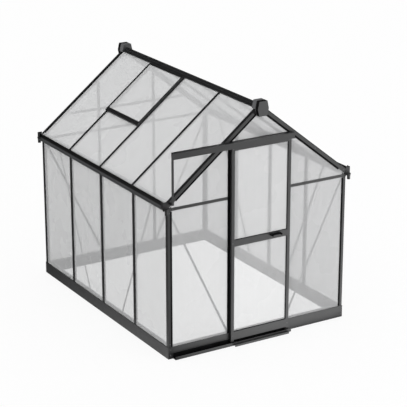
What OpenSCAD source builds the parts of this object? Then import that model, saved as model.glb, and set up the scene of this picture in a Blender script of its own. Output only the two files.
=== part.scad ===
// Walk-in garden greenhouse in extruded aluminium with twin-wall panels.
// Door gable faces -Y, +X is to the right of someone facing the door, +Z is up.

/* [Overall] */
// Width across the base frame
base_w = 1910; // [1700:10:2400]
// Length along the base frame
base_l = 2500; // [1900:10:3200]
// Height of the base frame
base_h = 112; // [80:1:160]
// Height of the roof surface at the side walls
eave_h = 1482; // [1300:1:1700]
// Height of the roof surface at the ridge line
ridge_h = 2238; // [2050:1:2500]
// Bays along each side wall
side_bays = 4; // [3:1:6]

/* [Base frame] */
// Wall of the base frame section
base_t = 2.5; // [2:0.5:5]
// Depth of the base frame top flange
base_top_d = 55; // [50:1:80]
// Depth of the base frame bottom flange
base_foot_d = 40; // [25:1:60]
// Distance of the wall frame behind the base frame face
inset = 4; // [2:1:20]

/* [Wall and roof bars] */
// Face width of the roof bars and gable uprights
bar_face = 30; // [24:1:40]
// Face width of the side wall bars
wall_bar_face = 42; // [28:1:60]
// Thickness of the outer flange of the bars and posts
flange_t = 2.5; // [1.5:0.5:4]
// Thickness of the web of a bar
web_t = 2; // [1.5:0.5:3]
// Depth of the wall bars
stud_d = 28; // [24:1:40]
// Depth of the roof bars
roof_bar_d = 24; // [20:1:30]
// Face width of the corner posts
post_face = 38; // [34:1:60]
// Face depth of the gable rafters
rafter_d = 42; // [36:1:66]
// Height of the cross rails of the gables
rail_h = 28; // [24:1:40]

/* [Panels] */
// Thickness of the twin-wall panels
panel_t = 4; // [3:0.5:6]
// Play on each face of a panel in its groove
panel_play = 0.2; // [0.1:0.05:0.5]

/* [Gutters and ridge] */
// Width of the gutter outside the wall
gutter_w = 40; // [30:1:70]
// Height of the gutter
gutter_h = 84; // [70:1:95]
// Wall of the gutter
gutter_t = 2.5; // [2:0.5:4]
// Width of the roof flange on each side of the ridge beam
ridge_side = 58; // [45:1:80]

/* [Door] */
// Width of the door leaf
door_w = 628; // [560:1:680]
// Height of the door leaf
door_h = 1860; // [1650:1:1870]
// Depth of the door leaf
door_d = 25; // [20:1:30]
// Face width of the door stiles
stile_w = 30; // [26:1:50]
// Travel of the door when it opens
door_travel = 610; // [400:5:620]

// Height of the door bottom rail
foot_rail_h = 80; // [60:1:110]
// Height of the door middle rail
middle_h = 60; // [40:1:90]
// Height of the door top rail
top_rail_h = 30; // [24:1:60]

/* [Roof vent] */
// Bay of the roof vent, counted from the back
vent_bay = 2; // [1:1:3]
// Length of the vent down the slope
vent_len = 690; // [500:10:800]

/* [Hidden] */
fit = 0.2;
clear = 5;
fx = base_w / 2 - inset;
fy = base_l / 2 - inset;
rise = ridge_h - eave_h;
roof_deg = atan(rise / fx);
slope_len = fx / cos(roof_deg);
bay = 2 * fy / side_bays;
groove = panel_t + 2 * panel_play;
panel_in = flange_t + panel_play;
panel_edge = web_t / 2 + 0.3;
clip_t = 1.5;
clip_w = 16;
bulb_w = 10;
bulb_t = 3;
rail_d = flange_t + groove + bulb_t;
lip_in = flange_t + groove + clip_t;
post_core = 18;
lip_w = 14;
brace_w = 20;
brace_t = 2;
brace_in = 20;
brace_foot = bay / 2;
brace_head = 320;

base_lip = 14;
base_rib = 8;

shelf_drop = 46;
shelf_z = eave_h - shelf_drop;
shelf_in = 6;
gutter_drop = 76;
gutter_z = eave_h - gutter_drop;
gutter_len = 2 * fy;
gutter_foot = 8;
rim_w = 6;
drip_w = 7;
drip_z = 16;
drip_low = 4;
drip_up = 6;
end_notch = 31;
end_cap_t = 3;
end_cap_over = 6;
end_cap_low = gutter_z + drip_z - 8;
end_wrap = 40;
hood_up = 20;
outlet_r = 15;
outlet_top_r = 20;
outlet_wall = 2.5;
outlet_l = 22;
outlet_neck = 34;
outlet_drop = 10;

lip_over = 8;
raft_drop = (rafter_d + lip_over) / cos(roof_deg);
panel_tuck = rafter_d - 15;
pocket_in = rafter_d - 17;
rafter_flange = 30;
rafter_clip = 18;
post_top = eave_h - raft_drop - fit;
cross_drop = 64;
rail_z = eave_h - cross_drop;

ridge_web = 4;
ridge_over = 3;
ridge_foot_w = 16;
ridge_foot_t = 4;
ridge_web_h = 50;
ridge_set = 30;
bar_end = slope_len - (ridge_web / 2 + fit + roof_bar_d * sin(roof_deg)) / cos(roof_deg);
eave_over = 12;
cap_d = 50;
cap_w = 112;
cap_face_w = 84;
cap_back = 50;
cap_up = 36;
cap_low = 100;
cap_side_up = 28;
cap_side_low = 38;

vent_h = 20;
vent_foot = 42;
vent_side = 20;
vent_lap = 12;
vent_down = 14;
vent_lid = 4;
rib_at = 12;
rib_w = 6;

opening_over = 18;
jamb_face = 38;
jamb_half = jamb_face / 2;
jamb_x = door_w / 2 - opening_over + jamb_half;
leaf_gap = 12;
door_x = 0;
door_y = -(fy + leaf_gap);
door_z = 32;
door_top = door_z + door_h;
foot_lift = 20;
middle_z = door_z + door_h / 2;
panel_bite = 9;
rail_pocket = 10;
rail_cell = 12;
stile_wall = 2;
stile_slot = 10;
fin_t = 3;
fin_d = leaf_gap - clear - 2;

head_t = 2.5;
head_d = leaf_gap + door_d + clear + 0.5 + head_t;
head_h = 56;
head_z = door_top - 12;
head_top = head_z + head_h;
head_x0 = -(fx - 40);
head_x1 = jamb_x + 30;
ledge_d = 16;
ledge_t = 3;
ledge_z = door_top + clear;
wheel_r = 11;
wheel_w = 6;
wheel_y = -(fy + head_t + clear + 0.5);
wheel_z = ledge_z + ledge_t + fit + wheel_r;
axle_r = 3;
hanger_x = 0.35 * door_w;
hanger_w = 40;
hanger_t = 2.5;
hanger_y = -(fy + ledge_d + clear + 0.5);
hanger_h = wheel_z + axle_r + 4 - door_top;
strut_w = 23;
strut_t = 3;
strut_foot_h = 24;
gable_rail_z = head_top - 11;
gable_rail_t = 3;
gable_rail_up = 152;
gable_rail_h = 24;
back_bar_x = jamb_x;

track_d = 53;
track_z = 4;
track_t = 2.5;
track_h = 50;
lip_h = 30;
track_x1 = door_w / 2 + 20;
track_x0 = -(fx - 41);
sill_d = 24;
sill_h = 20;
sill_half = door_w / 2 - 18;
guide_w = 40;
guide_t = 8;
guide_z = 14;
guide_x = 0.32 * door_w;
grip_r = 6;
grip_span = 94;
grip_x = 107;
grip_z = middle_z + 41;
grip_out = 38;

big = 4000;
centre_y = (base_l / 2 + track_d + sill_d - fy - cap_d) / 2;

// Shifts a piece so that the whole stands centred on the origin
module centred() {
    translate([0, centre_y, 0]) children();
}

// Roof surface height at a distance from the centre line, and the top edge of the gable panels
function roof_z(x) = eave_h + (fx - abs(x)) * tan(roof_deg);
function tuck_z(x) = roof_z(x) - panel_tuck / cos(roof_deg);
function bay_y(k) = fy - k * bay;

// Glazing bar section: outer face on the x axis, web towards -y
module bar_section(face, depth) {
    translate([-face / 2, -flange_t]) square([face, flange_t]);
    translate([-web_t / 2, -depth]) square([web_t, depth]);
    translate([-clip_w / 2, -flange_t - groove - clip_t]) square([clip_w, clip_t]);
    translate([-bulb_w / 2, -depth]) square([bulb_w, bulb_t]);
}

// Base frame section: outer face on x = 0, depth towards +x
module base_section() {
    square([base_t, base_h]);
    square([base_foot_d, base_t]);
    translate([0, base_h - base_t]) square([base_top_d, base_t]);
    translate([base_top_d - base_t, base_h - base_lip]) square([base_t, base_lip]);
    translate([0, base_h / 2]) square([base_rib, base_t]);
}

module base_bar(len, half_other) {
    apex = len / 2 - half_other;
    intersection() {
        translate([-len / 2, -half_other, 0]) rotate([90, 0, 90]) linear_extrude(len) base_section();
        linear_extrude(base_h) polygon([[-len / 2, -half_other], [len / 2, -half_other], [0, apex]]);
    }
}

module base_front_shape() {
    color("dimgray") base_bar(base_w, base_l / 2);
}

module base_back_shape() {
    color("dimgray") rotate([0, 0, 180]) base_bar(base_w, base_l / 2);
}

module base_left_shape() {
    color("dimgray") rotate([0, 0, -90]) base_bar(base_l, base_w / 2);
}

module base_right_shape() {
    color("dimgray") rotate([0, 0, 90]) base_bar(base_l, base_w / 2);
}

// Corner post: two outer faces, a closed core and two inner glazing lips
module post_section() {
    lip_at = flange_t + groove;
    core_in = post_core - 2 * flange_t;
    difference() {
        union() {
            square([post_face, flange_t]);
            square([flange_t, post_face]);
            square([post_core, post_core]);
            translate([post_core - flange_t, lip_at]) square([lip_w, clip_t]);
            translate([lip_at, post_core - flange_t]) square([clip_t, lip_w]);
        }
        translate([flange_t, flange_t]) square([core_in, core_in]);
    }
}

module corner_post() {
    color("dimgray") difference() {
        translate([-fx, -fy, base_h]) linear_extrude(eave_h - base_h) post_section();
        translate([0, -fy, 0]) rafter_cut();
    }
}

module corner_post_front_left_shape() {
    corner_post();
}

module corner_post_front_right_shape() {
    mirror([1, 0, 0]) corner_post();
}

module corner_post_back_left_shape() {
    mirror([0, 1, 0]) corner_post();
}

module corner_post_back_right_shape() {
    rotate([0, 0, 180]) corner_post();
}

module wall_bars_left_shape() {
    color("dimgray")
    for (k = [1 : side_bays - 1])
        translate([-fx, bay_y(k), base_h]) rotate([0, 0, 90])
            linear_extrude(shelf_z - base_h) bar_section(wall_bar_face, stud_d);
}

module wall_bars_right_shape() {
    mirror([1, 0, 0]) wall_bars_left_shape();
}

// Upright of a gable, cut to the underside of the rafters
module gable_upright(x, face) {
    difference() {
        translate([x, -fy, base_h]) rotate([0, 0, 180])
            linear_extrude(roof_z(x) - base_h) bar_section(face, stud_d);
        translate([0, -fy, 0]) rafter_cut();
    }
}

// Everything above the lower edge of the two rafters
module rafter_cut() {
    low = eave_h - raft_drop - fit;
    peak = ridge_h - raft_drop - fit;
    rotate([90, 0, 0]) translate([0, 0, -100]) linear_extrude(200)
        polygon([[-fx, low], [0, peak], [fx, low], [fx, ridge_h + 100], [-fx, ridge_h + 100]]);
}

module door_jamb_left_shape() {
    color("dimgray") gable_upright(door_x - jamb_x, jamb_face);
}

module door_jamb_right_shape() {
    color("dimgray") gable_upright(door_x + jamb_x, jamb_face);
}

module wall_bars_back_shape() {
    color("dimgray") mirror([0, 1, 0]) {
        gable_upright(-back_bar_x, bar_face);
        gable_upright(back_bar_x, bar_face);
    }
}

// Cross rail of a gable: a face, and a web between the panel above and the panel below
module cross_rail(x0, x1, z) {
    translate([x0, -fy, z]) rotate([90, 0, 90]) linear_extrude(x1 - x0) rotate([0, 0, 90])
        bar_section(rail_h, rail_d);
}

module cross_rail_front_left_shape() {
    color("dimgray") cross_rail(-fx + post_face, door_x - jamb_x - jamb_half, rail_z);
}

module cross_rail_front_right_shape() {
    color("dimgray") cross_rail(door_x + jamb_x + jamb_half, fx - post_face, rail_z);
}

module cross_rail_back_shape() {
    out = back_bar_x + bar_face / 2;
    in = back_bar_x - bar_face / 2;
    color("dimgray") mirror([0, 1, 0]) {
        cross_rail(-fx + post_face, -out, rail_z);
        cross_rail(-in, in, rail_z);
        cross_rail(out, fx - post_face, rail_z);
    }
}

module gable_rail_front_shape() {
    span = jamb_x - jamb_half;
    color("dimgray") difference() {
        cross_rail(door_x - span, door_x + span, gable_rail_z);
        translate([0, -fy, 0]) rafter_cut();
    }
}

module gable_rail_back_shape() {
    z = eave_h + gable_rail_up;
    half = fx - (z + gable_rail_h + raft_drop - eave_h) / tan(roof_deg) - 1;
    color("dimgray") translate([-half, fy - stud_d - gable_rail_t, z])
        cube([2 * half, gable_rail_t, gable_rail_h]);
}

// Gable rafter section: gable face on x = 0, roof face on y = 0
module rafter_section() {
    lip_at = flange_t + groove;
    translate([0, -rafter_d]) square([flange_t, rafter_d]);
    translate([0, -flange_t]) square([rafter_flange, flange_t]);
    translate([0, -flange_t - groove - clip_t]) square([rafter_clip, clip_t]);
    translate([0, -pocket_in]) square([lip_at + clip_t, clip_t]);
    translate([lip_at, -rafter_d - lip_over]) square([clip_t, rafter_d + lip_over - pocket_in + clip_t]);
}

module on_left_slope() {
    translate([-fx, 0, eave_h]) rotate([0, -roof_deg, 0]) children();
}

module rafter() {
    color("dimgray") intersection() {
        on_left_slope() translate([-60, -fy, 0]) rotate([90, 0, 90])
            linear_extrude(slope_len + 120) rafter_section();
        translate([-fx, -fy - 10, 0]) cube([fx, 60, big]);
    }
}

module rafter_front_left_shape() {
    rafter();
}

module rafter_front_right_shape() {
    mirror([1, 0, 0]) rafter();
}

module rafter_back_left_shape() {
    mirror([0, 1, 0]) rafter();
}

module rafter_back_right_shape() {
    rotate([0, 0, 180]) rafter();
}

// Gutter section on the right: inner wall on x = fx, trough open at the top, drip edge along the outside
module gutter_section() {
    t = gutter_t;
    low = gutter_z;
    seat = eave_h - (panel_in + panel_t + fit) / cos(roof_deg) - t * tan(roof_deg);
    top = low + gutter_h;
    wall = gutter_w - drip_w;
    floor_z = low + drip_z;
    inner = wall - t;
    rim = wall - rim_w;
    translate([fx, 0]) polygon([[0, low], [gutter_foot, low], [gutter_foot, low + t], [t, low + t],
        [t, floor_z], [wall, floor_z], [gutter_w, floor_z - drip_low], [gutter_w, floor_z + drip_up],
        [wall, floor_z + drip_z], [wall, top], [rim, top], [rim, top - t], [inner, top - t],
        [inner, floor_z + t], [t, floor_z + t], [t, seat], [0, seat]]);
}

module gutter_right_shape() {
    notch_z = eave_h - (roof_bar_d + fit) / cos(roof_deg) - gutter_t * tan(roof_deg);
    shelf = gutter_len - 2 * (post_face + 1);
    notch = clip_w + 2 * fit;
    color("dimgray") {
        difference() {
            translate([0, gutter_len / 2, 0]) rotate([90, 0, 0])
                linear_extrude(gutter_len) gutter_section();
            for (k = [1 : side_bays - 1])
                translate([fx - 1, bay_y(k) - notch / 2, notch_z]) cube([gutter_t + 2, notch, gutter_h]);
            for (s = [-1, 1])
                translate([fx - 1, s * fy - end_notch, notch_z])
                    cube([gutter_t + 2, 2 * end_notch, gutter_h]);
        }
        translate([fx - stud_d - shelf_in, -shelf / 2, shelf_z])
            cube([stud_d + shelf_in + gutter_t / 2, shelf, gutter_t]);
    }
}

module gutter_left_shape() {
    mirror([1, 0, 0]) gutter_right_shape();
}

// Gutter end cap: plate over the end of the gutter, hood, and an outlet stub below
module gutter_end_cap() {
    low = end_cap_low;
    tall = gutter_z + gutter_h - low + end_cap_over;
    mid = gutter_w / 2 + 2;
    y0 = -end_cap_t - fit;
    z0 = low - outlet_drop;
    color("black") translate([fx, -fy, 0]) difference() {
        union() {
            translate([fit, y0, low]) cube([gutter_w + end_cap_over, end_cap_t, tall]);
            translate([gutter_w + fit, y0, low + hood_up]) cube([end_cap_over, end_wrap, tall - hood_up]);
            translate([mid, y0 - outlet_r, z0])
                cylinder(h = outlet_neck, r1 = outlet_r, r2 = outlet_top_r, $fn = 48);
            translate([mid, y0 - outlet_r, z0 - outlet_l])
                cylinder(h = outlet_l, r = outlet_r, $fn = 48);
        }
        translate([mid, y0 - outlet_r, z0 - outlet_l - 1])
            cylinder(h = outlet_l + outlet_neck - 4, r = outlet_r - outlet_wall, $fn = 48);
    }
}

module gutter_end_caps_shape() {
    gutter_end_cap();
    mirror([1, 0, 0]) gutter_end_cap();
    mirror([0, 1, 0]) gutter_end_cap();
    rotate([0, 0, 180]) gutter_end_cap();
}

// Ridge beam: a web, and a roof flange down each slope over the ends of the panels
module ridge_beam_shape() {
    len = 2 * (fy - fit);
    web_len = 2 * (fy - ridge_set - fit);
    drop = ridge_side * sin(roof_deg);
    out = ridge_side * cos(roof_deg);
    z0 = ridge_h + fit / cos(roof_deg);
    t = ridge_over / cos(roof_deg);
    color("dimgray") translate([0, len / 2, 0]) rotate([90, 0, 0]) linear_extrude(len)
        polygon([[0, z0], [out, z0 - drop], [out, z0 + t - drop],
            [0, z0 + t], [-out, z0 + t - drop], [-out, z0 - drop]]);
    color("dimgray") translate([0, web_len / 2, 0]) rotate([90, 0, 0]) linear_extrude(web_len) {
        translate([-ridge_web / 2, ridge_h - ridge_web_h])
            square([ridge_web, z0 + t / 2 - ridge_h + ridge_web_h]);
        translate([-ridge_foot_w / 2, ridge_h - ridge_web_h - ridge_foot_t])
            square([ridge_foot_w, ridge_foot_t]);
    }
}

// Ridge cap: six-sided block in front of the gable with a saddle over the end of the ridge beam
module ridge_cap() {
    over = (fit + ridge_over + fit) / cos(roof_deg);
    reach = 2 * fx;
    low = ridge_h + over - reach * tan(roof_deg);
    color("black") {
        translate([0, -fy - fit, 0]) rotate([90, 0, 0]) linear_extrude(cap_d - fit) cap_outline();
        translate([0, -fy + cap_back, 0]) rotate([90, 0, 0]) linear_extrude(cap_back + fit + 0.1)
            difference() {
                cap_outline();
                polygon([[0, ridge_h + over], [reach, low], [0, 0], [-reach, low]]);
            }
    }
}

module cap_outline() {
    f = cap_face_w / 2;
    w = cap_w / 2;
    translate([0, ridge_h]) polygon([[-f, -cap_low], [f, -cap_low], [w, -cap_side_low],
        [w, -cap_side_up], [f, cap_up], [-f, cap_up], [-w, -cap_side_up], [-w, -cap_side_low]]);
}

module ridge_cap_front_shape() {
    ridge_cap();
}

module ridge_cap_back_shape() {
    mirror([0, 1, 0]) ridge_cap();
}

module roof_bars_left_shape() {
    color("dimgray")
    for (k = [1 : side_bays - 1])
        on_left_slope() translate([-eave_over, bay_y(k), 0]) rotate([90, 0, 90])
            linear_extrude(bar_end + eave_over) bar_section(bar_face, roof_bar_d);
}

module roof_bars_right_shape() {
    mirror([1, 0, 0]) roof_bars_left_shape();
}

// Flat panel between two bays of a side wall
module side_panel(k) {
    y1 = bay_y(k - 1) - (k == 1 ? post_core + fit : panel_edge);
    y0 = bay_y(k) + (k == side_bays ? post_core + fit : panel_edge);
    translate([-fx + panel_in, y0, base_h]) cube([panel_t, y1 - y0, shelf_z - base_h]);
}

module wall_panels_left_shape() {
    color("white") for (k = [1 : side_bays]) side_panel(k);
}

module wall_panels_right_shape() {
    mirror([1, 0, 0]) wall_panels_left_shape();
}

// Panel of a gable from a flat outline
module gable_panel(points) {
    translate([0, -fy + panel_in + panel_t, 0]) rotate([90, 0, 0])
        linear_extrude(panel_t) polygon(points);
}

module gable_side_panels(bar_x) {
    x0 = fx - post_core - fit;
    x1 = bar_x + panel_edge;
    low = rail_z - panel_edge;
    high = rail_z + panel_edge;
    gable_panel([[-x0, base_h], [-x1, base_h], [-x1, low], [-x0, low]]);
    gable_panel([[-x0, high], [-x1, high], [-x1, tuck_z(x1)], [-x0, tuck_z(x0)]]);
}

module wall_panels_front_shape() {
    z0 = gable_rail_z + panel_edge;
    half = fx - (z0 - tuck_z(fx)) / tan(roof_deg);
    color("white") {
        gable_side_panels(jamb_x - door_x);
        mirror([1, 0, 0]) gable_side_panels(jamb_x + door_x);
        gable_panel([[-half, z0], [half, z0], [0, tuck_z(0)]]);
    }
}

module wall_panels_back_shape() {
    x1 = back_bar_x - panel_edge;
    low = rail_z - panel_edge;
    high = rail_z + panel_edge;
    color("white") mirror([0, 1, 0]) {
        gable_side_panels(back_bar_x);
        mirror([1, 0, 0]) gable_side_panels(back_bar_x);
        gable_panel([[-x1, base_h], [x1, base_h], [x1, low], [-x1, low]]);
        gable_panel([[-x1, high], [x1, high], [x1, tuck_z(x1)], [0, tuck_z(0)], [-x1, tuck_z(x1)]]);
    }
}

// Roof panel of a bay from one distance up the slope to another
module roof_panel(k, s0, s1) {
    y1 = bay_y(k - 1) - (k == 1 ? flange_t + fit : panel_edge);
    y0 = bay_y(k) + (k == side_bays ? flange_t + fit : panel_edge);
    on_left_slope() translate([s0, y0, -panel_in - panel_t]) cube([s1 - s0, y1 - y0, panel_t]);
}

module roof_panels_left_shape() {
    vent_s = slope_len - vent_len;
    color("white") for (k = [1 : side_bays])
        roof_panel(k, -eave_over, k == vent_bay ? vent_s - panel_edge : bar_end);
}

module roof_panels_right_shape() {
    color("white") mirror([1, 0, 0]) for (k = [1 : side_bays]) roof_panel(k, -eave_over, bar_end);
}

module vent_sill_shape() {
    y0 = bay_y(vent_bay) + bar_face / 2 + fit;
    y1 = bay_y(vent_bay - 1) - bar_face / 2 - fit;
    color("dimgray") on_left_slope() translate([slope_len - vent_len, y0, 0])
        rotate([-90, 0, 0]) linear_extrude(y1 - y0) mirror([0, 1, 0]) bar_section(bar_face, rail_d);
}

// Lower left corner and size of the vent on the slope
function vent_s0() = slope_len - vent_len - vent_down;
function vent_s1() = slope_len - ridge_side - 2;
function vent_y0() = bay_y(vent_bay) - rib_w;
function vent_y1() = bay_y(vent_bay - 1) + rib_w;

module vent_frame_shape() {
    s_len = vent_s1() - vent_s0();
    y_len = vent_y1() - vent_y0();
    hole_s = s_len - vent_foot - vent_side;
    hole_y = y_len - 2 * vent_side;
    color("dimgray") on_left_slope() translate([vent_s0(), vent_y0(), fit]) difference() {
        cube([s_len, y_len, vent_h]);
        translate([vent_foot, vent_side, -1]) cube([hole_s, hole_y, vent_h + 2]);
        translate([vent_foot - vent_lap, vent_side - vent_lap, vent_h - vent_lid - groove])
            cube([hole_s + 2 * vent_lap, hole_y + 2 * vent_lap, groove]);
        translate([rib_at, -1, vent_h - 3]) cube([rib_w, y_len + 2, vent_lid]);
    }
}

module vent_panel_shape() {
    lap = vent_lap - fit;
    s_len = vent_s1() - vent_s0() - vent_foot - vent_side + 2 * lap;
    y_len = vent_y1() - vent_y0() - 2 * vent_side + 2 * lap;
    z0 = fit + vent_h - vent_lid - groove + panel_play;
    color("white") on_left_slope()
        translate([vent_s0() + vent_foot - lap, vent_y0() + vent_side - lap, z0])
            cube([s_len, y_len, panel_t]);
}

// Flat bar in a wall plane between two heights, ends cut level
module slant(a0, a1, z0, z1) {
    w = brace_w;
    run = w * sqrt(pow(a1 - a0, 2) + pow(z1 - z0, 2)) / abs(z1 - z0);
    linear_extrude(brace_t) polygon([[a0, z0], [a0 + run, z0], [a1 + run, z1], [a1, z1]]);
}

module braces_left_shape() {
    x = -fx + stud_d;
    color("silver") for (s = [-1, 1]) scale([1, s, 1])
        translate([x, 0, 0]) rotate([90, 0, 90]) slant(brace_foot, fy - brace_head, base_h, shelf_z);
}

module braces_right_shape() {
    mirror([1, 0, 0]) braces_left_shape();
}

module gable_braces() {
    y = -fy + stud_d + brace_t;
    foot = -(jamb_x + bulb_w);
    head = -fx + lip_in + fit;
    color("silver") for (s = [0, 1]) mirror([s, 0, 0])
        translate([0, y, 0]) rotate([90, 0, 0]) slant(foot, head, base_h, post_top - brace_in);
}

module braces_front_shape() {
    gable_braces();
}

module braces_back_shape() {
    mirror([0, 1, 0]) gable_braces();
}

// Head rail over the door: hooded channel, open below, with a ledge for the hanger wheels
module head_rail_shape() {
    t = head_t;
    back_z = ledge_z - head_z;
    color("dimgray") translate([head_x0, -fy, head_z]) rotate([90, 0, 90])
        linear_extrude(head_x1 - head_x0) {
            translate([-head_d, 0]) square([t, head_h]);
            translate([-head_d, head_h - t]) square([head_d, t]);
            translate([-t, back_z]) square([t, head_h - back_z]);
            translate([-ledge_d, back_z]) square([ledge_d, ledge_t]);
        }
}

module head_rail_strut_shape() {
    x = head_x0 - strut_w;
    top = roof_z(x);
    foot = top - strut_foot_h - strut_t / cos(roof_deg);
    color("dimgray") {
        translate([x, -fy - head_d, foot]) cube([strut_w, strut_t, head_top - foot]);
        translate([x, -fy - head_d, foot]) cube([strut_t, head_d, strut_foot_h]);
    }
}

// Bottom track on the front of the base frame
module door_track_shape() {
    t = track_t;
    color("dimgray") translate([track_x0, -base_l / 2, track_z]) rotate([90, 0, 90])
        linear_extrude(track_x1 - track_x0) {
            translate([-t, 0]) square([t, track_h]);
            translate([-track_d, 0]) square([track_d, t]);
            translate([-track_d, 0]) square([t, lip_h]);
        }
}

module door_sill_shape() {
    t = track_t;
    color("dimgray") translate([door_x - sill_half, -base_l / 2 - track_d, 0]) rotate([90, 0, 90])
        linear_extrude(2 * sill_half) {
            translate([-sill_d, sill_h - t]) square([sill_d, t]);
            translate([-sill_d, 0]) square([t, sill_h]);
            translate([-t, track_z]) square([t, sill_h - track_z]);
        }
}

// Stile section: closed chamber and a panel groove on the inner side
module stile_section() {
    w = stile_wall;
    difference() {
        square([stile_w, door_d]);
        translate([w, w]) square([stile_w - stile_slot - 2 * w, door_d - 2 * w]);
        translate([stile_w - stile_slot, (door_d - groove) / 2]) square([stile_slot + 1, groove]);
    }
}

module door_stiles_shape() {
    fin_z = base_h + clear - door_z;
    color("dimgray") for (s = [0, 1]) translate([door_x, door_y, door_z]) mirror([s, 0, 0])
        translate([-door_w / 2, -door_d, 0]) {
            linear_extrude(door_h) stile_section();
            translate([0, door_d, fin_z]) cube([fin_t, fin_d, door_h - fin_z]);
        }
}

module door_rail(z, h) {
    x0 = door_x - door_w / 2 + stile_w;
    len = door_w - 2 * stile_w;
    w = stile_wall;
    p = rail_pocket;
    mid = -(door_d + groove) / 2;
    translate([x0, door_y, z]) rotate([90, 0, 90]) linear_extrude(len) difference() {
        translate([-door_d, 0]) square([door_d, h]);
        if (h > 2 * rail_cell + w)
            translate([-door_d + w, rail_cell]) square([door_d - 2 * w, h - 2 * rail_cell]);
        translate([mid, -1]) square([groove, p]);
        translate([mid, h + 1 - p]) square([groove, p]);
    }
}

module door_top_rail_shape() {
    color("dimgray") door_rail(door_top - top_rail_h, top_rail_h);
}

module door_middle_rail_shape() {
    color("dimgray") door_rail(middle_z, middle_h);
}

module door_bottom_rail_shape() {
    color("dimgray") door_rail(door_z + foot_lift, foot_rail_h);
}

module door_panels_shape() {
    bite = panel_bite - 1;
    half = door_w / 2 - stile_w + bite;
    y = door_y - (door_d - panel_t) / 2;
    lower = door_z + foot_lift + foot_rail_h - bite;
    upper = middle_z + middle_h - bite;
    color("white") for (r = [[lower, middle_z + bite], [upper, door_top - top_rail_h + bite]])
        translate([door_x - half, y - panel_t, r[0]]) cube([2 * half, panel_t, r[1] - r[0]]);
}

// Bail handle: a round bar with both ends turned back to the middle rail
module door_handle_shape() {
    color("black") translate([door_x + grip_x, door_y - door_d, grip_z]) {
        translate([0, -grip_r, 0]) rotate([0, 90, 0]) cylinder(h = grip_span, r = grip_r, $fn = 32);
        for (x = [0, grip_span]) {
            translate([x, 0, 0]) rotate([90, 0, 0]) cylinder(h = grip_out, r = grip_r, $fn = 32);
            translate([x, 0, 0]) rotate([90, 0, 0]) cylinder(h = 2, r = 1.5 * grip_r, $fn = 48);
        }
    }
}

module door_hangers_shape() {
    pin = wheel_y + fit - hanger_y;
    foot_d = door_d / 2;
    color("black") for (x = [-hanger_x, hanger_x]) translate([door_x + x, 0, 0]) {
        translate([0, wheel_y, wheel_z]) rotate([90, 0, 0]) cylinder(h = wheel_w, r = wheel_r, $fn = 48);
        translate([0, wheel_y, wheel_z]) rotate([90, 0, 0]) cylinder(h = pin, r = axle_r, $fn = 32);
        translate([-hanger_w / 2, hanger_y - hanger_t, door_top]) cube([hanger_w, hanger_t, hanger_h]);
        translate([-hanger_w / 2, hanger_y - foot_d, door_top]) cube([hanger_w, foot_d, hanger_t]);
    }
}

module door_guides_shape() {
    y = door_y - (door_d + guide_t) / 2;
    color("black") for (x = [-guide_x, guide_x]) translate([door_x + x - guide_w / 2, y, guide_z])
        cube([guide_w, guide_t, door_z + foot_lift - guide_z]);
}

module base_front() {
    centred() base_front_shape();
}

module base_back() {
    centred() base_back_shape();
}

module base_left() {
    centred() base_left_shape();
}

module base_right() {
    centred() base_right_shape();
}

module corner_post_front_left() {
    centred() corner_post_front_left_shape();
}

module corner_post_front_right() {
    centred() corner_post_front_right_shape();
}

module corner_post_back_left() {
    centred() corner_post_back_left_shape();
}

module corner_post_back_right() {
    centred() corner_post_back_right_shape();
}

module wall_bars_left() {
    centred() wall_bars_left_shape();
}

module wall_bars_right() {
    centred() wall_bars_right_shape();
}

module wall_bars_back() {
    centred() wall_bars_back_shape();
}

module door_jamb_left() {
    centred() door_jamb_left_shape();
}

module door_jamb_right() {
    centred() door_jamb_right_shape();
}

module cross_rail_front_left() {
    centred() cross_rail_front_left_shape();
}

module cross_rail_front_right() {
    centred() cross_rail_front_right_shape();
}

module cross_rail_back() {
    centred() cross_rail_back_shape();
}

module gable_rail_front() {
    centred() gable_rail_front_shape();
}

module gable_rail_back() {
    centred() gable_rail_back_shape();
}

module rafter_front_left() {
    centred() rafter_front_left_shape();
}

module rafter_front_right() {
    centred() rafter_front_right_shape();
}

module rafter_back_left() {
    centred() rafter_back_left_shape();
}

module rafter_back_right() {
    centred() rafter_back_right_shape();
}

module gutter_left() {
    centred() gutter_left_shape();
}

module gutter_right() {
    centred() gutter_right_shape();
}

module gutter_end_caps() {
    centred() gutter_end_caps_shape();
}

module ridge_beam() {
    centred() ridge_beam_shape();
}

module ridge_cap_front() {
    centred() ridge_cap_front_shape();
}

module ridge_cap_back() {
    centred() ridge_cap_back_shape();
}

module roof_bars_left() {
    centred() roof_bars_left_shape();
}

module roof_bars_right() {
    centred() roof_bars_right_shape();
}

module wall_panels_left() {
    centred() wall_panels_left_shape();
}

module wall_panels_right() {
    centred() wall_panels_right_shape();
}

module wall_panels_front() {
    centred() wall_panels_front_shape();
}

module wall_panels_back() {
    centred() wall_panels_back_shape();
}

module roof_panels_left() {
    centred() roof_panels_left_shape();
}

module roof_panels_right() {
    centred() roof_panels_right_shape();
}

module vent_sill() {
    centred() vent_sill_shape();
}

module vent_frame() {
    centred() vent_frame_shape();
}

module vent_panel() {
    centred() vent_panel_shape();
}

module braces_left() {
    centred() braces_left_shape();
}

module braces_right() {
    centred() braces_right_shape();
}

module braces_front() {
    centred() braces_front_shape();
}

module braces_back() {
    centred() braces_back_shape();
}

module head_rail() {
    centred() head_rail_shape();
}

module head_rail_strut() {
    centred() head_rail_strut_shape();
}

module door_track() {
    centred() door_track_shape();
}

module door_sill() {
    centred() door_sill_shape();
}

module door_stiles() {
    centred() door_stiles_shape();
}

module door_top_rail() {
    centred() door_top_rail_shape();
}

module door_middle_rail() {
    centred() door_middle_rail_shape();
}

module door_bottom_rail() {
    centred() door_bottom_rail_shape();
}

module door_panels() {
    centred() door_panels_shape();
}

module door_handle() {
    centred() door_handle_shape();
}

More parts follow.
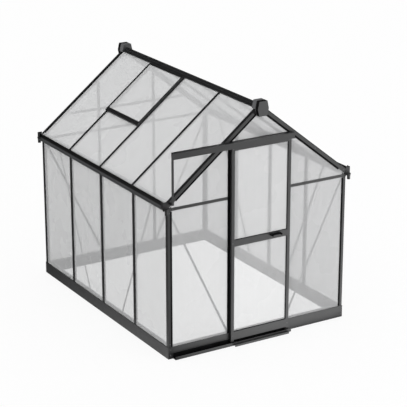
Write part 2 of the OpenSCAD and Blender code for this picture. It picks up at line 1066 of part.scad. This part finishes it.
module door_hangers() {
    centred() door_hangers_shape();
}

module door_guides() {
    centred() door_guides_shape();
}

base_front();
base_back();
base_left();
base_right();
corner_post_front_left();
corner_post_front_right();
corner_post_back_left();
corner_post_back_right();
wall_bars_left();
wall_bars_right();
wall_bars_back();
door_jamb_left();
door_jamb_right();
cross_rail_front_left();
cross_rail_front_right();
cross_rail_back();
gable_rail_front();
gable_rail_back();
rafter_front_left();
rafter_front_right();
rafter_back_left();
rafter_back_right();
gutter_left();
gutter_right();
gutter_end_caps();
ridge_beam();
ridge_cap_front();
ridge_cap_back();
roof_bars_left();
roof_bars_right();
wall_panels_left();
wall_panels_right();
wall_panels_front();
wall_panels_back();
roof_panels_left();
roof_panels_right();
vent_sill();
vent_frame();
vent_panel();
braces_left();
braces_right();
braces_front();
braces_back();
head_rail();
head_rail_strut();
door_track();
door_sill();
door_stiles();
door_top_rail();
door_middle_rail();
door_bottom_rail();
door_panels();
door_handle();
door_hangers();
door_guides();
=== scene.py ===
import bpy, bmesh, math
from mathutils import Vector, Matrix


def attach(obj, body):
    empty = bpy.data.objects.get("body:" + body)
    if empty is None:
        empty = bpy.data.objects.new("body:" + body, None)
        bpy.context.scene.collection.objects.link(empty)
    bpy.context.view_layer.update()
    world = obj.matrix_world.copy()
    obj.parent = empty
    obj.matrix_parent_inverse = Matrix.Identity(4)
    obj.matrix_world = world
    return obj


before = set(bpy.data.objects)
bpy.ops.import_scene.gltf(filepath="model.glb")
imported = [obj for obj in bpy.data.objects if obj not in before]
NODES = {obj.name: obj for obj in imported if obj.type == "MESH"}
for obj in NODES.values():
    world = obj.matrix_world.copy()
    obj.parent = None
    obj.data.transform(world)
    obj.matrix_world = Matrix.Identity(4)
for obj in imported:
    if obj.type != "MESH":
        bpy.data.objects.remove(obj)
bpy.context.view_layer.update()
scene = bpy.context.scene

# ---------- sizes of the part, metres ----------
CY = 0.0155                      # the part's middle lies this far along y
FX, FY = 0.951, 1.246            # wall planes, from the middle
BX, BY = 0.955, 1.250            # faces of the base frame
BASE_TOP, EAVE, RIDGE = 0.112, 1.482, 2.238
SLOPE = math.atan2(RIDGE - EAVE, FX)
RUN = FX / math.cos(SLOPE)       # length of a roof slope
BAY = FY / 2                     # four bays along the length
LEAF_FRONT = -1.283 + CY         # faces of the door leaf
LEAF_BACK = -1.258 + CY
STILE_X = 0.300                  # middle of a door stile
PANE_HALF = 0.284                # half the width of a door pane
GUTTER_FLOOR = 1.422             # underside of the gutter's floor
GUTTER_LIP_TOP = 1.449           # the painted light on the gutter's lip ends here, with painted shade on the wall above


# ---------- materials ----------
def new_mat(name):
    m = bpy.data.materials.new(name)
    m.use_nodes = True
    return m, m.node_tree, m.node_tree.nodes["Principled BSDF"]


def node(nt, kind, **props):
    n = nt.nodes.new(kind)
    for k, v in props.items():
        setattr(n, k, v)
    return n


def math_node(nt, op, a, b=None, c=None):
    n = node(nt, "ShaderNodeMath", operation=op)
    for i, v in enumerate((a, b, c)):
        if v is None:
            continue
        if isinstance(v, (int, float)):
            n.inputs[i].default_value = v
        else:
            nt.links.new(v, n.inputs[i])
    return n.outputs[0]


def obj_coords(nt, scale=(1, 1, 1)):
    tc = node(nt, "ShaderNodeTexCoord")
    mp = node(nt, "ShaderNodeMapping")
    mp.inputs["Scale"].default_value = scale
    nt.links.new(tc.outputs["Object"], mp.inputs["Vector"])
    return mp.outputs["Vector"]


def noise(nt, vec, scale, detail=3.0, rough=0.55):
    n = node(nt, "ShaderNodeTexNoise")
    n.inputs["Scale"].default_value = scale
    n.inputs["Detail"].default_value = detail
    n.inputs["Roughness"].default_value = rough
    nt.links.new(vec, n.inputs["Vector"])
    return n.outputs["Fac"]


def ramp(nt, fac, stops):
    r = node(nt, "ShaderNodeValToRGB")
    els = r.color_ramp.elements
    while len(els) < len(stops):
        els.new(0.5)
    for e, (p, c) in zip(els, stops):
        e.position = p
        e.color = (*c, 1.0) if isinstance(c, (tuple, list)) else (c, c, c, 1.0)
    nt.links.new(fac, r.inputs["Fac"])
    return r.outputs["Color"]


def mix_col(nt, fac, a, b):
    n = node(nt, "ShaderNodeMix", data_type="RGBA")
    for key, v in (("A", a), ("B", b)):
        sock = [s for s in n.inputs if s.name == key and s.type == "RGBA"][0]
        if isinstance(v, (tuple, list)):
            sock.default_value = (*v, 1.0)
        else:
            nt.links.new(v, sock)
    nt.links.new(fac, n.inputs["Factor"])
    return [s for s in n.outputs if s.type == "RGBA"][0]


def bump(nt, bsdf, height, strength, distance):
    b = node(nt, "ShaderNodeBump")
    b.inputs["Strength"].default_value = strength
    b.inputs["Distance"].default_value = distance
    nt.links.new(height, b.inputs["Height"])
    nt.links.new(b.outputs["Normal"], bsdf.inputs["Normal"])


def map_range(nt, value, start, end, low=0.0, high=1.0):
    n = node(nt, "ShaderNodeMapRange")
    for key, v in (("From Min", start), ("From Max", end), ("To Min", low), ("To Max", high)):
        n.inputs[key].default_value = v
    nt.links.new(value, n.inputs["Value"])
    return n.outputs["Result"]


def split_xyz(nt, vec):
    n = node(nt, "ShaderNodeSeparateXYZ")
    nt.links.new(vec, n.inputs["Vector"])
    return n.outputs


def edge_mask(nt, radius, lo, hi):
    # bright on outer edges, where a coat wears thin: a rounded normal that departs from the flat one
    bev = node(nt, "ShaderNodeBevel", samples=4)
    bev.inputs["Radius"].default_value = radius
    geo = node(nt, "ShaderNodeNewGeometry")
    dot = node(nt, "ShaderNodeVectorMath", operation="DOT_PRODUCT")
    nt.links.new(bev.outputs["Normal"], dot.inputs[0])
    nt.links.new(geo.outputs["Normal"], dot.inputs[1])
    return map_range(nt, dot.outputs["Value"], hi, lo)


def powder_coat(name, dark, light, worn, rough=0.36, spec=0.9):
    # satin powder coat: fine orange peel, faint clouding, slightly lighter rubbed edges
    m, nt, b = new_mat(name)
    v = obj_coords(nt)
    base = ramp(nt, noise(nt, v, 5.0, 4.0), [(0.3, dark), (0.72, light)])
    wear = math_node(nt, "MULTIPLY", edge_mask(nt, 0.0022, 0.80, 0.97),
                     ramp(nt, noise(nt, v, 60.0, 4.0), [(0.35, 0.1), (0.7, 0.8)]))
    nt.links.new(mix_col(nt, wear, base, worn), b.inputs["Base Color"])
    nt.links.new(ramp(nt, noise(nt, v, 23.0, 3.0), [(0.3, rough - 0.05), (0.75, rough + 0.07)]),
                 b.inputs["Roughness"])
    b.inputs["Specular IOR Level"].default_value = spec
    bump(nt, b, noise(nt, v, 420.0, 2.0), 0.15, 0.0005)
    return m


def gutter_coat_and_painted_light(name, dark, lip, rough=0.4, spec=0.5):
    # satin; the gutter's wall is painted black as painted shade, and the lower lip where it turns out is
    # painted paler as painted light
    m, nt, b = new_mat(name)
    tc = node(nt, "ShaderNodeTexCoord")
    up = map_range(nt, split_xyz(nt, tc.outputs["Object"])["Z"], GUTTER_LIP_TOP, GUTTER_LIP_TOP + 0.006)
    cloud = noise(nt, tc.outputs["Object"], 6.0, 4.0)
    # below the lip top: painted light on the lip; above it: painted shade on the wall
    base = mix_col(nt, up, ramp(nt, cloud, [(0.3, lip), (0.7, tuple(c * 1.25 for c in lip))]),
                   ramp(nt, cloud, [(0.3, dark), (0.7, tuple(c * 1.5 for c in dark))]))
    nt.links.new(base, b.inputs["Base Color"])
    nt.links.new(ramp(nt, cloud, [(0.3, rough - 0.05), (0.75, rough + 0.08)]), b.inputs["Roughness"])
    b.inputs["Specular IOR Level"].default_value = spec
    bump(nt, b, noise(nt, tc.outputs["Object"], 420.0, 2.0), 0.15, 0.0005)
    return m


def ridge_cap_coat(name, face, collar, recess, collar_y, rough=0.42, spec=0.8):
    # grey moulding whose side faces, picked by which way they face, are painted black past the collar as
    # painted shade, with a paler collar behind them
    m, nt, b = new_mat(name)
    tc = node(nt, "ShaderNodeTexCoord")
    geo = node(nt, "ShaderNodeNewGeometry")
    out = math_node(nt, "ABSOLUTE", math_node(nt, "SUBTRACT", split_xyz(nt, tc.outputs["Object"])["Y"], CY))
    cloud = noise(nt, tc.outputs["Object"], 14.0, 3.0)
    facing = math_node(nt, "ABSOLUTE", split_xyz(nt, geo.outputs["Normal"])["Y"])
    sides = math_node(nt, "LESS_THAN", facing, 0.7)
    outer = math_node(nt, "GREATER_THAN", out, collar_y)

    def pair(c):
        return ramp(nt, cloud, [(0.3, c), (0.7, tuple(v * 1.3 for v in c))])
    # side faces past the collar take the near-black colour: painted shade
    side = mix_col(nt, outer, pair(collar), pair(recess))
    nt.links.new(mix_col(nt, sides, pair(face), side), b.inputs["Base Color"])
    nt.links.new(ramp(nt, cloud, [(0.3, rough - 0.05), (0.75, rough + 0.08)]), b.inputs["Roughness"])
    b.inputs["Specular IOR Level"].default_value = spec
    bump(nt, b, noise(nt, tc.outputs["Object"], 900.0, 2.0), 0.25, 0.0004)
    return m


def moulded(name, dark, light, worn, rough=0.45, spec=0.5):
    m, nt, b = new_mat(name)
    v = obj_coords(nt)
    base = ramp(nt, noise(nt, v, 14.0, 3.0), [(0.35, dark), (0.7, light)])
    wear = math_node(nt, "MULTIPLY", edge_mask(nt, 0.002, 0.8, 0.97), 0.6)
    nt.links.new(mix_col(nt, wear, base, worn), b.inputs["Base Color"])
    nt.links.new(ramp(nt, noise(nt, v, 30.0, 3.0), [(0.3, rough - 0.05), (0.75, rough + 0.08)]),
                 b.inputs["Roughness"])
    b.inputs["Specular IOR Level"].default_value = spec
    bump(nt, b, noise(nt, v, 900.0, 2.0), 0.25, 0.0004)
    return m


def drawn_metal(name, dark, light, rough=0.38):
    m, nt, b = new_mat(name)
    streak = noise(nt, obj_coords(nt, (40, 40, 3)), 6.0, 4.0)
    nt.links.new(ramp(nt, streak, [(0.3, dark), (0.7, light)]), b.inputs["Base Color"])
    nt.links.new(ramp(nt, streak, [(0.3, rough - 0.08), (0.7, rough + 0.1)]), b.inputs["Roughness"])
    b.inputs["Metallic"].default_value = 0.35
    bump(nt, b, streak, 0.12, 0.0003)
    return m


def twin_wall(name, axis, alpha, shade_tint, pitch=0.0105, rib_gain=0.10):
    # clear twin-wall sheet: upright ribs every pitch metres between two skins, slight haze and dust
    m, nt, b = new_mat(name)
    tc = node(nt, "ShaderNodeTexCoord")
    along = split_xyz(nt, tc.outputs["Object"])[axis]
    fr = math_node(nt, "FRACT", math_node(nt, "MULTIPLY", along, 1.0 / pitch))
    rib = ramp(nt, fr, [(0.0, 1.0), (0.12, 0.3), (0.2, 0.0), (0.8, 0.0), (0.88, 0.3), (1.0, 1.0)])
    wide = noise(nt, obj_coords(nt, (60 if axis == "X" else 1, 60 if axis == "Y" else 1, 0.6)), 1.0, 2.0)
    haze = noise(nt, tc.outputs["Object"], 1.6, 3.0)
    tone = mix_col(nt, ramp(nt, wide, [(0.35, 0.0), (0.65, 0.55)]), shade_tint, tuple(c * 0.975 for c in shade_tint))
    nt.links.new(mix_col(nt, rib, tone, tuple(c * 0.86 for c in shade_tint)), b.inputs["Base Color"])
    a = math_node(nt, "MULTIPLY_ADD", haze, 0.08, alpha - 0.04)
    nt.links.new(math_node(nt, "MULTIPLY_ADD", rib, rib_gain, a), b.inputs["Alpha"])
    nt.links.new(ramp(nt, haze, [(0.3, 0.22), (0.7, 0.34)]), b.inputs["Roughness"])
    b.inputs["IOR"].default_value = 1.5
    b.inputs["Specular IOR Level"].default_value = 0.35
    bump(nt, b, rib, 0.15, 0.0005)
    return m


FRAME_MAT = powder_coat("powder_coat_anthracite", (0.0115, 0.0118, 0.0125), (0.0165, 0.0168, 0.0175),
                        (0.06, 0.061, 0.063))
RIB_MAT = moulded("moulded_grey", (0.035, 0.036, 0.037), (0.05, 0.051, 0.053), (0.12, 0.12, 0.125), spec=0.9)
# the near-black third colour is painted shade on the cap's side faces
RIDGE_CAP = ridge_cap_coat("ridge_cap", (0.032, 0.033, 0.034), (0.11, 0.112, 0.115), (0.004, 0.004, 0.0042),
                           FY + 0.006)
END_CAP = moulded("end_cap", (0.018, 0.018, 0.019), (0.032, 0.032, 0.033), (0.10, 0.101, 0.103), 0.4, 0.6)
BLACK_MAT = moulded("moulded_black", (0.004, 0.004, 0.0043), (0.008, 0.008, 0.0085), (0.02, 0.02, 0.021),
                    0.6, 0.04)
BRACE_MAT = drawn_metal("drawn_aluminium", (0.09, 0.092, 0.095), (0.15, 0.153, 0.156))
# near-black rubber for the gaskets, seals and beads, also put as painted shade on the black strips, the
# track, the gable rail's front and the door jambs
GASKET_AND_SHADE = moulded("rubber_gasket_and_painted_shade", (0.003, 0.003, 0.0032), (0.006, 0.006, 0.0065), (0.012, 0.012, 0.012),
                 0.7, 0.1)
TAPE = moulded("end_tape", (0.46, 0.465, 0.47), (0.55, 0.555, 0.56), (0.62, 0.62, 0.625), 0.6, 0.3)
SCREW_DARK = powder_coat("screw_heads", (0.03, 0.031, 0.032), (0.06, 0.061, 0.063), (0.35, 0.35, 0.36),
                         0.3, 0.8)
# black wall as painted shade, paler lip as painted light
GUTTER = gutter_coat_and_painted_light("gutter_coat_and_painted_light", (0.003, 0.003, 0.0032), (0.055, 0.056, 0.058))
# one clear sheet in four copies whose tints differ as painted light and shade: darkest on the gables, then
# the sides, lighter on the roof, lightest on the door
WALL_X = twin_wall("twin_wall_gable", "X", 0.36, (0.69, 0.693, 0.697))
DOOR_X = twin_wall("twin_wall_door", "X", 0.33, (0.80, 0.803, 0.807))
WALL_Y = twin_wall("twin_wall_side", "Y", 0.42, (0.72, 0.723, 0.727))
ROOF = twin_wall("twin_wall_roof", "Y", 0.48, (0.79, 0.793, 0.797))


def dress(name, mat):
    o = NODES[name]
    o.data.materials.clear()
    o.data.materials.append(mat)


FINISH = {
    WALL_X: ("wall_panels_front", "wall_panels_back"),
    DOOR_X: ("door_panels",),
    WALL_Y: ("wall_panels_left", "wall_panels_right"),
    ROOF: ("roof_panels_left", "roof_panels_right", "vent_panel"),
    BRACE_MAT: ("braces_left", "braces_right", "braces_front", "braces_back"),
    RIDGE_CAP: ("ridge_cap_front", "ridge_cap_back"),
    END_CAP: ("gutter_end_caps",),
    BLACK_MAT: ("door_handle", "door_hangers", "door_guides"),
    GUTTER: ("gutter_left", "gutter_right"),
    # the gable rail's front and the door jambs are painted black as painted shade
    GASKET_AND_SHADE: ("gable_rail_front", "door_jamb_left", "door_jamb_right"),
}
for n in NODES:
    dress(n, next((mat for mat, names in FINISH.items() if n in names), FRAME_MAT))


# ---------- extra pieces ----------
def make(name, bm, mat, body):
    me = bpy.data.meshes.new(name)
    bmesh.ops.recalc_face_normals(bm, faces=bm.faces[:])
    bm.to_mesh(me)
    bm.free()
    o = bpy.data.objects.new(name, me)
    me.materials.append(mat)
    scene.collection.objects.link(o)
    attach(o, body)
    return o


def add_box(bm, p, q, chamfer=0.0, axes=None):
    # box between two corners, with its long edges taken off; axes carries it to another frame
    n0 = len(bm.verts)
    r = bmesh.ops.create_cube(bm, size=1.0)
    for v in r["verts"]:
        v.co = Vector([(p[i] + q[i]) / 2 + v.co[i] * (q[i] - p[i]) for i in range(3)])
    if chamfer:
        edges = list({e for v in r["verts"] for e in v.link_edges})
        bmesh.ops.bevel(bm, geom=edges, offset=chamfer, segments=2, affect="EDGES", profile=0.7)
    if axes is not None:
        bm.verts.ensure_lookup_table()
        for v in bm.verts[n0:]:
            v.co = axes @ v.co


def add_rings(bm, rows):
    # skin over rings of points of equal count, closed at both ends
    for a, b in zip(rows, rows[1:]):
        for i in range(len(a)):
            j = (i + 1) % len(a)
            bm.faces.new((a[i], a[j], b[j], b[i]))
    bm.faces.new(rows[0][::-1])
    bm.faces.new(rows[-1])


# radius and height of each ring of a screw, in head radii: washer, head, then the recess
SCREW_RINGS = ((1.45, 0.0), (1.45, 0.12), (1.0, 0.14), (1.0, 0.40),
               (0.86, 0.58), (0.55, 0.68), (0.30, 0.70), (0.16, 0.42))
SCREW_SEG = 20
RECESS_R = 0.30                  # rings this small and smaller take the shape of the cross


def add_screw(bm, at, normal, r=0.0055):
    # pan head with a cross recess and a washer under it
    z = Vector(normal).normalized()
    x = z.orthogonal().normalized()
    rot = Matrix((x, z.cross(x), z)).transposed().to_4x4()
    rot.translation = Vector(at)
    rows = []
    for ring_r, ring_h in SCREW_RINGS:
        row = []
        for i in range(SCREW_SEG):
            a = 2 * math.pi * i / SCREW_SEG
            k = ring_r
            if ring_r <= RECESS_R:
                k = ring_r * (1.25 if i % 5 == 0 else 0.72)
            row.append(bm.verts.new(rot @ Vector((k * r * math.cos(a), k * r * math.sin(a), ring_h * r))))
        rows.append(row)
    add_rings(bm, rows)


def add_tube(bm, p, q, r, seg=24):
    # round bar between two points, with rounded ends
    p, q = Vector(p), Vector(q)
    z = (q - p).normalized()
    x = z.orthogonal().normalized()
    y = z.cross(x)
    long = (q - p).length
    c = r * 0.3
    ends = ((r - c, 0.0), (r - 0.3 * c, 0.3 * c), (r, c),
            (r, long - c), (r - 0.3 * c, long - 0.3 * c), (r - c, long))
    rows = []
    for ring_r, ring_h in ends:
        rows.append([bm.verts.new(p + z * ring_h + x * ring_r * math.cos(2 * math.pi * i / seg)
                                  + y * ring_r * math.sin(2 * math.pi * i / seg)) for i in range(seg)])
    add_rings(bm, rows)


def slope_axes(sx):
    # turns (up the slope, along the roof, out of the roof) from the eaves into the row frame
    ax = Vector((-sx * math.cos(SLOPE), 0, math.sin(SLOPE)))
    az = Vector((sx * math.sin(SLOPE), 0, math.cos(SLOPE)))
    m = Matrix((ax, az.cross(ax), az)).transposed().to_4x4()
    m.translation = Vector((sx * FX, 0, EAVE))
    return m, ax, az


def slope_strip(bm, s0, s1, low, high, y0, y1, sx, chamfer=0.0008):
    # strip on one slope, from s0 to s1 up it, between two heights over the roof surface
    m = slope_axes(sx)[0]
    lo, hi = (y0, y1) if m[1][1] > 0 else (-y1, -y0)
    add_box(bm, (s0, lo, low), (s1, hi, high), chamfer, m)


def roof_top(x):
    return EAVE + (FX - abs(x)) * math.tan(SLOPE)


def frame_screws():
    bm = bmesh.new()
    for sy in (-1, 1):
        for sx in (-1, 1):
            for z in (0.034, 0.086):
                add_screw(bm, (sx * (BX - 0.022), sy * BY + CY, z), (0, sy, 0))
                add_screw(bm, (sx * BX, sy * (BY - 0.022) + CY, z), (sx, 0, 0))
            # along the rafters, but not where the strut and the head rail cover them
            for x in (0.925, 0.60, 0.36, 0.075):
                under_strut = sy < 0 and sx < 0 and x == 0.925
                under_rail = sy < 0 and x == 0.36
                if under_strut or under_rail:
                    continue
                add_screw(bm, (sx * x, sy * FY + CY, roof_top(x) - 0.027), (0, sy, 0), 0.0045)
            # cross rail ends
            add_screw(bm, (sx * (FX - 0.052), sy * FY + CY, 1.418), (0, sy, 0), 0.004)
            # corner post heads and feet
            for z in (0.14, 1.385):
                add_screw(bm, (sx * (FX - 0.016), sy * FY + CY, z), (0, sy, 0), 0.004)
                add_screw(bm, (sx * FX, sy * (FY - 0.016) + CY, z), (sx, 0, 0), 0.004)
    return make("frame_screws", bm, SCREW_DARK, "frame")


def bar_screws():
    # through the foot of each side bar, and twice through each roof bar, save where the vent covers it
    bm = bmesh.new()
    for k in (-1, 0, 1):
        y = k * BAY + CY
        for sx in (-1, 1):
            add_screw(bm, (sx * FX, y, BASE_TOP + 0.016), (sx, 0, 0), 0.004)
            up, nrm = slope_axes(sx)[1:]
            foot = Vector((sx * FX, y, EAVE))
            add_screw(bm, foot + up * 0.012, nrm, 0.004)
            if not (sx < 0 and k == 0):
                add_screw(bm, foot + up * 0.6, nrm, 0.0035)
    return make("bar_screws", bm, SCREW_DARK, "frame")


def painted_shade_strips():
    # black lips along the rafters' edges and the inner edges of the corner posts: painted shade where the
    # profiles' recessed flanges lie in shadow
    bm = bmesh.new()
    for sy in (-1, 1):
        y0, y1 = sorted((sy * (FY + 0.0004) + CY, sy * (FY - 0.0067) + CY))
        for sx in (-1, 1):
            slope_strip(bm, 0.07, RUN - 0.045, -0.0525, -0.0350, y0, y1, sx)
            slope_strip(bm, 0.07, RUN - 0.045, -0.0060, -0.0006, y0, y1, sx)
            x0, x1 = sorted((sx * (FX - 0.0430), sx * (FX - 0.0250)))
            add_box(bm, (x0, y0, BASE_TOP + 0.004), (x1, y1, EAVE - 0.086), 0.0008)
    return make("gable_painted_shade_strips", bm, GASKET_AND_SHADE, "frame")


def track_shade_liner():
    # black strip on the floor and back of the bottom track: painted shade for the shadowed channel
    bm = bmesh.new()
    add_box(bm, (-0.908, -1.3004 + CY, 0.0066), (0.332, -1.2527 + CY, 0.0078), 0.0003)
    add_box(bm, (-0.908, -1.2536 + CY, 0.0079), (0.332, -1.2527 + CY, 0.0538), 0.0003)
    return make("track_shade_liner", bm, GASKET_AND_SHADE, "frame")


def door_screws():
    # where the three rails meet the stiles
    bm = bmesh.new()
    for sx in (-1, 1):
        for z in (0.092, 0.992, 1.8765):
            add_screw(bm, (sx * STILE_X, LEAF_FRONT, z), (0, -1, 0), 0.004)
    return make("door_screws", bm, SCREW_DARK, "door")


def handle_sleeves():
    # soft sleeves over the handle's bar and its two prongs
    bm = bmesh.new()
    bar_r, z = 0.0095, 1.003
    y = LEAF_FRONT - bar_r
    add_tube(bm, (0.098, y, z), (0.210, y, z), bar_r)
    for x in (0.107, 0.201):
        add_tube(bm, (x, LEAF_FRONT - 0.0015, z), (x, LEAF_FRONT - 0.0387, z), 0.0082)
    return make("handle_sleeves", bm, BLACK_MAT, "door")


def door_seals():
    # brush seals on the backs of the stiles
    bm = bmesh.new()
    for sx in (-1, 1):
        x = sx * (STILE_X + 0.0085)
        add_box(bm, (x - 0.0015, LEAF_BACK - 0.0004, 0.12), (x + 0.0015, LEAF_BACK + 0.0046, 1.885), 0.0006)
    return make("door_seals", bm, GASKET_AND_SHADE, "door")


def door_beads():
    # glazing bead along the four sides of each door pane
    bm = bmesh.new()
    y1 = LEAF_FRONT + 0.0099
    y0 = y1 - 0.003
    half, w = PANE_HALF, 0.004
    for z0, z1 in ((0.132, 0.962), (1.022, 1.862)):
        for x0, x1, low, high in ((-half, half, z0, z0 + w), (-half, half, z1 - w, z1),
                                  (-half, -half + w, z0 + w, z1 - w), (half - w, half, z0 + w, z1 - w)):
            add_box(bm, (x0, y0, low), (x1, y1, high), 0.0006)
    return make("door_beads", bm, GASKET_AND_SHADE, "door")


def gutter_clips():
    # a clip under each gutter in the middle of each bay
    bm = bmesh.new()
    z0, z1 = GUTTER_FLOOR - 0.0055, GUTTER_FLOOR - 0.0002
    for sx in (-1, 1):
        for k in (-1.5, -0.5, 0.5, 1.5):
            y = k * BAY + CY
            x0, x1 = sorted((sx * (FX + 0.0085), sx * (FX + 0.031)))
            add_box(bm, (x0, y - 0.012, z0), (x1, y + 0.012, z1), 0.0008)
            add_screw(bm, (sx * (FX + 0.02), y, z0), (0, 0, -1), 0.0035)
    return make("gutter_clips", bm, BLACK_MAT, "frame")


def ridge_ribs():
    # fine ribs along the ridge flanges, between the caps
    bm = bmesh.new()
    for sx in (-1, 1):
        for down in (0.0545, 0.0300, 0.0120):
            slope_strip(bm, RUN - down, RUN - down + 0.0035, 0.0026, 0.0052, CY - 1.190, CY + 1.190, sx)
    return make("ridge_ribs", bm, RIB_MAT, "frame")


def panel_end_tapes():
    # pale tape that closes the lower ends of the roof panels, bay by bay
    bm = bmesh.new()
    for sx in (-1, 1):
        for k in range(4):
            y1 = FY - k * BAY - 0.034
            y0 = FY - (k + 1) * BAY + 0.034
            slope_strip(bm, 0.000, 0.012, -0.0034, -0.0025, y0 + CY, y1 + CY, sx)
    return make("panel_end_tapes", bm, TAPE, "frame")


def verge_trims():
    # second lip beside the back rafters, over the edge of the roof panels
    bm = bmesh.new()
    for sx in (-1, 1):
        slope_strip(bm, 0.02, RUN - 0.065, -0.0028, 0.0004, FY - 0.046 + CY, FY - 0.0305 + CY, sx)
    return make("verge_trims", bm, GASKET_AND_SHADE, "frame")


def vent_hinges():
    # three hinge knuckles along the top of the vent, on the left slope
    bm = bmesh.new()
    y0, y1 = 0.006 + CY, 0.617 + CY
    top = RUN - 0.060
    for a, b in ((y0, y0 + 0.12), (y0 + 0.245, y0 + 0.365), (y1 - 0.12, y1)):
        slope_strip(bm, top - 0.012, top - 0.002, 0.0204, 0.0244, a, b, -1, 0.0012)
    return make("vent_hinges", bm, FRAME_MAT, "frame")


frame_screws()
bar_screws()
painted_shade_strips()
track_shade_liner()
door_screws()
handle_sleeves()
door_seals()
door_beads()
gutter_clips()
ridge_ribs()
panel_end_tapes()
verge_trims()
vent_hinges()


# ---------- stage ----------
def plane(name, size, loc, mat):
    me = bpy.data.meshes.new(name)
    h = size / 2
    me.from_pydata([(-h, -h, 0), (h, -h, 0), (h, h, 0), (-h, h, 0)], [], [(0, 1, 2, 3)])
    o = bpy.data.objects.new(name, me)
    o.location = loc
    me.materials.append(mat)
    scene.collection.objects.link(o)
    return o


LOOK_X = 0.59                    # sideways run of the camera's view for each metre forward
PLINTH_GLOW_X = -1.135           # beyond this the base frame no longer reflects the floor
GLOW = 1.62                      # strength of the floor in reflections


def floor_material():
    # plain white to the camera with a faint shadow; in reflections, bright in front and dim at the back
    m, nt, b = new_mat("floor_white")
    b.inputs["Base Color"].default_value = (0.82, 0.82, 0.82, 1)
    b.inputs["Roughness"].default_value = 0.9
    b.inputs["Specular IOR Level"].default_value = 0.0
    lp = node(nt, "ShaderNodeLightPath")
    geo = node(nt, "ShaderNodeNewGeometry")
    at = split_xyz(nt, geo.outputs["Position"])

    def product(*values):
        out = values[0]
        for v in values[1:]:
            out = math_node(nt, "MULTIPLY", out, v)
        return out

    seen = math_node(nt, "MAXIMUM", lp.outputs["Is Camera Ray"], lp.outputs["Is Transmission Ray"])
    white = node(nt, "ShaderNodeEmission")
    # in front: starts at the base frame, falls off forward, and fades towards the left corner
    front = map_range(nt, at["Y"], -1.2, -1.34)
    far = map_range(nt, at["Y"], -2.0, -5.0, 1.0, 0.66)
    along = math_node(nt, "MULTIPLY_ADD", at["Y"], LOOK_X, at["X"])
    fade = ramp(nt, map_range(nt, along, -1.72, -0.5),
                [(0.0, 0.16), (0.05, 0.2), (0.09, 0.5), (0.4, 0.75), (0.8, 1.0)])
    level = product(front, far, fade)
    # beside the left wall: light close to the base, more near the front, and a streak for the near post
    back = math_node(nt, "MULTIPLY_ADD", at["X"], 1.69, math_node(nt, "ADD", at["Y"], 2.86))
    near = product(math_node(nt, "GREATER_THAN", at["X"], PLINTH_GLOW_X),
                   map_range(nt, back, 0.0, 2.6, 1.0, 0.16))
    streak = product(math_node(nt, "LESS_THAN", back, 0.05), math_node(nt, "GREATER_THAN", back, -0.5))
    outside = product(math_node(nt, "LESS_THAN", at["X"], -BX), math_node(nt, "GREATER_THAN", at["Y"], -1.26))
    beside = product(math_node(nt, "MAXIMUM", near, streak), outside, 0.42)
    glow = node(nt, "ShaderNodeEmission")
    level = math_node(nt, "MAXIMUM", level, beside)
    nt.links.new(math_node(nt, "MULTIPLY_ADD", level, GLOW, 0.05), glow.inputs["Strength"])

    def mix(fac, first, second):
        n = node(nt, "ShaderNodeMixShader")
        nt.links.new(fac, n.inputs["Fac"])
        nt.links.new(first, n.inputs[1])
        nt.links.new(second, n.inputs[2])
        return n.outputs["Shader"]

    shown = mix(product(seen, 0.90), b.outputs["BSDF"], white.outputs["Emission"])
    shader = mix(lp.outputs["Is Glossy Ray"], shown, glow.outputs["Emission"])
    nt.links.new(shader, nt.nodes["Material Output"].inputs["Surface"])
    return m


floor = plane("floor", 80.0, (0, 0, -0.001), floor_material())

world = bpy.data.worlds.new("studio")
scene.world = world
world.use_nodes = True
wnt = world.node_tree
bg = wnt.nodes["Background"]
bg.inputs["Color"].default_value = (1, 1, 1, 1)
wlp = node(wnt, "ShaderNodeLightPath")
seen = math_node(wnt, "MAXIMUM", wlp.outputs["Is Camera Ray"], wlp.outputs["Is Transmission Ray"])
lit = math_node(wnt, "MULTIPLY_ADD", wlp.outputs["Is Diffuse Ray"], 1.05, 0.03)
wnt.links.new(math_node(wnt, "MAXIMUM", seen, lit), bg.inputs["Strength"])


def area(name, loc, target, size, power):
    li = bpy.data.lights.new(name, "AREA")
    li.energy = power
    li.size = size
    o = bpy.data.objects.new(name, li)
    o.location = loc
    d = Vector(target) - Vector(loc)
    o.rotation_euler = d.to_track_quat("-Z", "Y").to_euler()
    scene.collection.objects.link(o)
    return o


area("key", (5.0, -9.0, 4.0), (0, 0, 1.0), 4.0, 170)

# ---------- camera ----------
cam_data = bpy.data.cameras.new("camera")
cam = bpy.data.objects.new("camera", cam_data)
scene.collection.objects.link(cam)
scene.camera = cam
AZ = math.radians(-31.17)
EL = math.radians(19.15)
cam.location = (-7.515, -12.701 + CY, 6.064)
cam_back = Vector((math.sin(AZ) * math.cos(EL), -math.cos(AZ) * math.cos(EL), math.sin(EL)))
cam.rotation_euler = cam_back.to_track_quat("Z", "Y").to_euler()
cam_data.lens = 142.56
cam_data.sensor_width = 36.0
cam_data.clip_end = 200.0

scene.view_settings.view_transform = "Standard"
